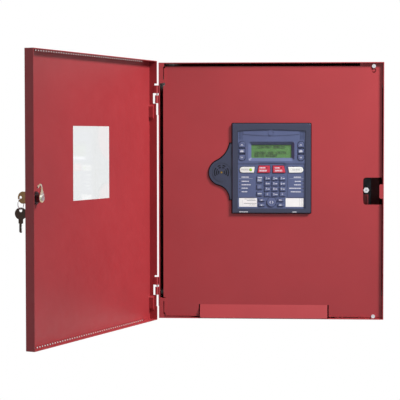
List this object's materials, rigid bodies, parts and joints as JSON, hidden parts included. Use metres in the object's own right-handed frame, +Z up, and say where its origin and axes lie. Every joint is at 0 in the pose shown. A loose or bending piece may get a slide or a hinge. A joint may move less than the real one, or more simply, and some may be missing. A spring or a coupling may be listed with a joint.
{
  "type": "fire alarm control panel",
  "caption": "Wall-mounted sheet-metal fire alarm panel with an open lockable hinged door, a dress panel, and a keypad with display and sounder.",
  "frame": {"origin": "centre of the backbox's back face, which lies on the wall", "axes": "+Z up, +X to the viewer's right, +Y into the wall; the front faces -Y and the door is stored open at the left"},
  "size_m": [0.6198, 0.5306, 0.4892],
  "materials": {
    "red_paint": "fine orange-peel powder coat",
    "steel": "bright zinc plate",
    "dark_steel": "dark plated",
    "zinc_sheet": "galvanised sheet",
    "yellow_zinc": "yellow passivated zinc",
    "laminated_steel": "varnished laminations",
    "circuit_board": "solder mask",
    "dark_plastic": "moulded",
    "battery_case": "moulded ABS",
    "lead_insulation": "PVC",
    "frame_plastic": "fine moulded texture",
    "fascia_plastic": "fine moulded texture",
    "key_plastic": "satin moulded",
    "white_key": "satin moulded",
    "red_key": "satin moulded",
    "display_green": "backlit liquid crystal",
    "label_card": "printed card",
    "clear_pane": "clear polycarbonate",
    "brass_key": "worn",
    "dark_key": "dark nickel, worn"
  },
  "bodies": {
    "cabinet": {"backbox": "red_paint", "box_hinges": "red_paint", "hinge_pins": "steel", "chassis": "zinc_sheet", "main_board": "circuit_board", "board_components": "dark_plastic", "transformer": "laminated_steel", "batteries": "battery_case", "battery_leads": "lead_insulation", "dress_panel": "red_paint", "dress_panel_screws": "steel", "hex_standoff": "steel", "keypad_frame": "frame_plastic", "keypad_fascia": "fascia_plastic", "display_window": "clear_pane", "display_module": "display_green", "sounder": "dark_plastic", "keypad_board": "circuit_board", "label_inserts": "label_card"},
    "door": {"door": "red_paint", "door_window": "clear_pane", "door_hinges": "red_paint", "lock_body": "dark_steel", "lock_nut": "dark_steel"},
    "lock_plug": {"lock_plug": "steel", "lock_cam": "yellow_zinc", "cam_screw": "steel"},
    "lock_key": {"key_in_lock": "brass_key"},
    "key_ring": {"key_ring": "steel"},
    "spare_key": {"spare_key": "dark_key"},
    "key_1": {"key_1": "key_plastic"},
    "key_2": {"key_2": "key_plastic"},
    "key_3": {"key_3": "key_plastic"},
    "key_4": {"key_4": "key_plastic"},
    "key_5": {"key_5": "key_plastic"},
    "key_6": {"key_6": "key_plastic"},
    "key_7": {"key_7": "key_plastic"},
    "key_8": {"key_8": "key_plastic"},
    "key_9": {"key_9": "key_plastic"},
    "key_star": {"key_star": "key_plastic"},
    "key_0": {"key_0": "key_plastic"},
    "key_hash": {"key_hash": "key_plastic"},
    "menu_key_top": {"menu_key_top": "key_plastic"},
    "menu_key_middle": {"menu_key_middle": "key_plastic"},
    "menu_key_bottom": {"menu_key_bottom": "key_plastic"},
    "scroll_up_left": {"scroll_up_left": "key_plastic"},
    "scroll_enter_left": {"scroll_enter_left": "key_plastic"},
    "scroll_down_left": {"scroll_down_left": "key_plastic"},
    "scroll_up_right": {"scroll_up_right": "key_plastic"},
    "scroll_enter_right": {"scroll_enter_right": "key_plastic"},
    "scroll_down_right": {"scroll_down_right": "key_plastic"},
    "acknowledge_key": {"acknowledge_key": "white_key"},
    "silence_key": {"silence_key": "red_key"},
    "drill_key": {"drill_key": "red_key"},
    "reset_key": {"reset_key": "white_key"},
    "soft_key_1": {"soft_key_1": "key_plastic"},
    "soft_key_2": {"soft_key_2": "key_plastic"},
    "soft_key_3": {"soft_key_3": "key_plastic"},
    "soft_key_4": {"soft_key_4": "key_plastic"},
    "nav_key": {"nav_key": "key_plastic"}
  },
  "joints": [
    {"name": "door_swing", "type": "hinge", "parent": "cabinet", "child": "door", "pos_m": [-0.21515, -0.13016, 0], "axis": [0, 0, 1], "range_deg": [-60, 111.1]},
    {"name": "lock_turn", "type": "hinge", "parent": "door", "child": "lock_plug", "pos_m": [-0.36152, -0.50548, 0.0028], "axis": [0.933, -0.36, 0], "range_deg": [0, 90]},
    {"name": "key_withdraw", "type": "slide", "parent": "lock_plug", "child": "lock_key", "axis": [-0.933, 0.36, 0], "range_m": [0, 0.03]},
    {"name": "key_ring_swing", "type": "hinge", "parent": "lock_key", "child": "key_ring", "pos_m": [-0.39828, -0.4913, 0.0028], "axis": [-0.36, -0.933, 0], "range_deg": [-60, 12]},
    {"name": "spare_key_swing", "type": "hinge", "parent": "key_ring", "child": "spare_key", "pos_m": [-0.39828, -0.4913, -0.0183], "axis": [-0.1582, -0.9874, 0], "range_deg": [-60, 12]},
    {"name": "acknowledge_key_press", "type": "slide", "parent": "cabinet", "child": "acknowledge_key", "axis": [0, 1, 0], "range_m": [0, 0.0009], "stiffness_N_per_m": 1200},
    {"name": "menu_key_top_press", "type": "slide", "parent": "cabinet", "child": "menu_key_top", "axis": [0, 1, 0], "range_m": [0, 0.0009], "stiffness_N_per_m": 1200},
    {"name": "scroll_up_left_press", "type": "slide", "parent": "cabinet", "child": "scroll_up_left", "axis": [0, 1, 0], "range_m": [0, 0.0009], "stiffness_N_per_m": 1200},
    {"name": "nav_key_press", "type": "slide", "parent": "cabinet", "child": "nav_key", "axis": [0, 1, 0], "range_m": [0, 0.0009], "stiffness_N_per_m": 1200},
    {"name": "key_1_press", "type": "slide", "parent": "cabinet", "child": "key_1", "axis": [0, 1, 0], "range_m": [0, 0.0009], "stiffness_N_per_m": 1200},
    {"name": "key_2_press", "type": "slide", "parent": "cabinet", "child": "key_2", "axis": [0, 1, 0], "range_m": [0, 0.0009], "stiffness_N_per_m": 1200},
    {"name": "key_3_press", "type": "slide", "parent": "cabinet", "child": "key_3", "axis": [0, 1, 0], "range_m": [0, 0.0009], "stiffness_N_per_m": 1200},
    {"name": "key_4_press", "type": "slide", "parent": "cabinet", "child": "key_4", "axis": [0, 1, 0], "range_m": [0, 0.0009], "stiffness_N_per_m": 1200},
    {"name": "key_5_press", "type": "slide", "parent": "cabinet", "child": "key_5", "axis": [0, 1, 0], "range_m": [0, 0.0009], "stiffness_N_per_m": 1200},
    {"name": "key_6_press", "type": "slide", "parent": "cabinet", "child": "key_6", "axis": [0, 1, 0], "range_m": [0, 0.0009], "stiffness_N_per_m": 1200},
    {"name": "key_7_press", "type": "slide", "parent": "cabinet", "child": "key_7", "axis": [0, 1, 0], "range_m": [0, 0.0009], "stiffness_N_per_m": 1200},
    {"name": "key_8_press", "type": "slide", "parent": "cabinet", "child": "key_8", "axis": [0, 1, 0], "range_m": [0, 0.0009], "stiffness_N_per_m": 1200},
    {"name": "key_9_press", "type": "slide", "parent": "cabinet", "child": "key_9", "axis": [0, 1, 0], "range_m": [0, 0.0009], "stiffness_N_per_m": 1200},
    {"name": "key_star_press", "type": "slide", "parent": "cabinet", "child": "key_star", "axis": [0, 1, 0], "range_m": [0, 0.0009], "stiffness_N_per_m": 1200},
    {"name": "key_0_press", "type": "slide", "parent": "cabinet", "child": "key_0", "axis": [0, 1, 0], "range_m": [0, 0.0009], "stiffness_N_per_m": 1200},
    {"name": "key_hash_press", "type": "slide", "parent": "cabinet", "child": "key_hash", "axis": [0, 1, 0], "range_m": [0, 0.0009], "stiffness_N_per_m": 1200},
    {"name": "menu_key_middle_press", "type": "slide", "parent": "cabinet", "child": "menu_key_middle", "axis": [0, 1, 0], "range_m": [0, 0.0009], "stiffness_N_per_m": 1200},
    {"name": "menu_key_bottom_press", "type": "slide", "parent": "cabinet", "child": "menu_key_bottom", "axis": [0, 1, 0], "range_m": [0, 0.0009], "stiffness_N_per_m": 1200},
    {"name": "scroll_enter_left_press", "type": "slide", "parent": "cabinet", "child": "scroll_enter_left", "axis": [0, 1, 0], "range_m": [0, 0.0009], "stiffness_N_per_m": 1200},
    {"name": "scroll_down_left_press", "type": "slide", "parent": "cabinet", "child": "scroll_down_left", "axis": [0, 1, 0], "range_m": [0, 0.0009], "stiffness_N_per_m": 1200},
    {"name": "scroll_up_right_press", "type": "slide", "parent": "cabinet", "child": "scroll_up_right", "axis": [0, 1, 0], "range_m": [0, 0.0009], "stiffness_N_per_m": 1200},
    {"name": "scroll_enter_right_press", "type": "slide", "parent": "cabinet", "child": "scroll_enter_right", "axis": [0, 1, 0], "range_m": [0, 0.0009], "stiffness_N_per_m": 1200},
    {"name": "scroll_down_right_press", "type": "slide", "parent": "cabinet", "child": "scroll_down_right", "axis": [0, 1, 0], "range_m": [0, 0.0009], "stiffness_N_per_m": 1200},
    {"name": "silence_key_press", "type": "slide", "parent": "cabinet", "child": "silence_key", "axis": [0, 1, 0], "range_m": [0, 0.0009], "stiffness_N_per_m": 1200},
    {"name": "drill_key_press", "type": "slide", "parent": "cabinet", "child": "drill_key", "axis": [0, 1, 0], "range_m": [0, 0.0009], "stiffness_N_per_m": 1200},
    {"name": "reset_key_press", "type": "slide", "parent": "cabinet", "child": "reset_key", "axis": [0, 1, 0], "range_m": [0, 0.0009], "stiffness_N_per_m": 1200},
    {"name": "soft_key_1_press", "type": "slide", "parent": "cabinet", "child": "soft_key_1", "axis": [0, 1, 0], "range_m": [0, 0.0009], "stiffness_N_per_m": 1200},
    {"name": "soft_key_2_press", "type": "slide", "parent": "cabinet", "child": "soft_key_2", "axis": [0, 1, 0], "range_m": [0, 0.0009], "stiffness_N_per_m": 1200},
    {"name": "soft_key_3_press", "type": "slide", "parent": "cabinet", "child": "soft_key_3", "axis": [0, 1, 0], "range_m": [0, 0.0009], "stiffness_N_per_m": 1200},
    {"name": "soft_key_4_press", "type": "slide", "parent": "cabinet", "child": "soft_key_4", "axis": [0, 1, 0], "range_m": [0, 0.0009], "stiffness_N_per_m": 1200}
  ]
}
